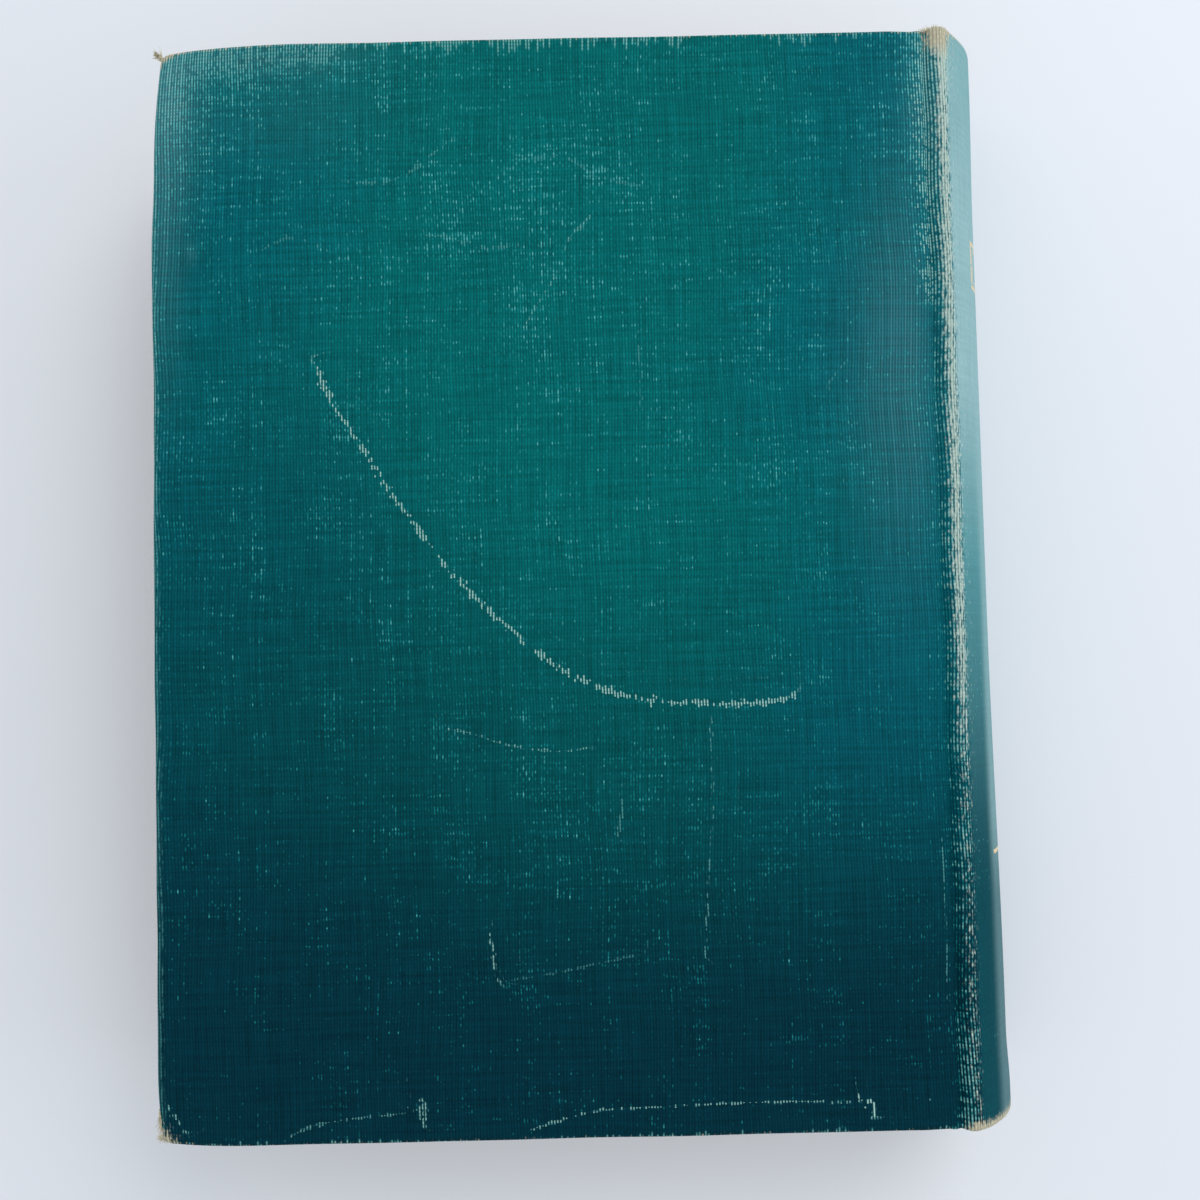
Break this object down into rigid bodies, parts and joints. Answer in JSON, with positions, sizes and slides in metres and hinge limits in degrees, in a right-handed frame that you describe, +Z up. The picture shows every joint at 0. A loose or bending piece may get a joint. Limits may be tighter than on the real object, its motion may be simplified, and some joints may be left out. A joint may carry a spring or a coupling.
{
  "type": "hardback book",
  "caption": "Thick cloth-covered hardback book, closed, with a rounded spine, grooved joints and two covers that open.",
  "frame": {"origin": "middle of the underside, which is the outer face of the front cover", "axes": "+X towards the spine, +Y towards the head along the spine, +Z up through the thickness to the back cover"},
  "size_m": [0.202, 0.26, 0.0484],
  "materials": {
    "pages": "matte",
    "endpaper": "matte",
    "mull": "matte",
    "lining_paper": "matte",
    "band": "satin",
    "board": "matte",
    "cover_cloth": "satin",
    "spine_cloth": "satin"
  },
  "bodies": {
    "pages": {"text_block": "pages", "front_flyleaf": "endpaper", "back_flyleaf": "endpaper", "spine_mull": "mull", "spine_lining": "lining_paper", "head_band": "band", "tail_band": "band", "spine_inlay": "lining_paper", "spine_cloth": "spine_cloth"},
    "front_cover": {"front_board": "board", "front_cloth": "cover_cloth", "front_pastedown": "endpaper", "front_mull_flange": "mull"},
    "back_cover": {"back_board": "board", "back_cloth": "cover_cloth", "back_pastedown": "endpaper", "back_mull_flange": "mull"}
  },
  "joints": [
    {"name": "front_cover_hinge", "type": "hinge", "parent": "pages", "child": "front_cover", "pos_m": [0.08375, 0, -0.0003], "axis": [0, -1, 0], "range_deg": [0, 178]},
    {"name": "back_cover_hinge", "type": "hinge", "parent": "pages", "child": "back_cover", "pos_m": [0.08375, 0, 0.0487], "axis": [0, 1, 0], "range_deg": [0, 178]}
  ]
}
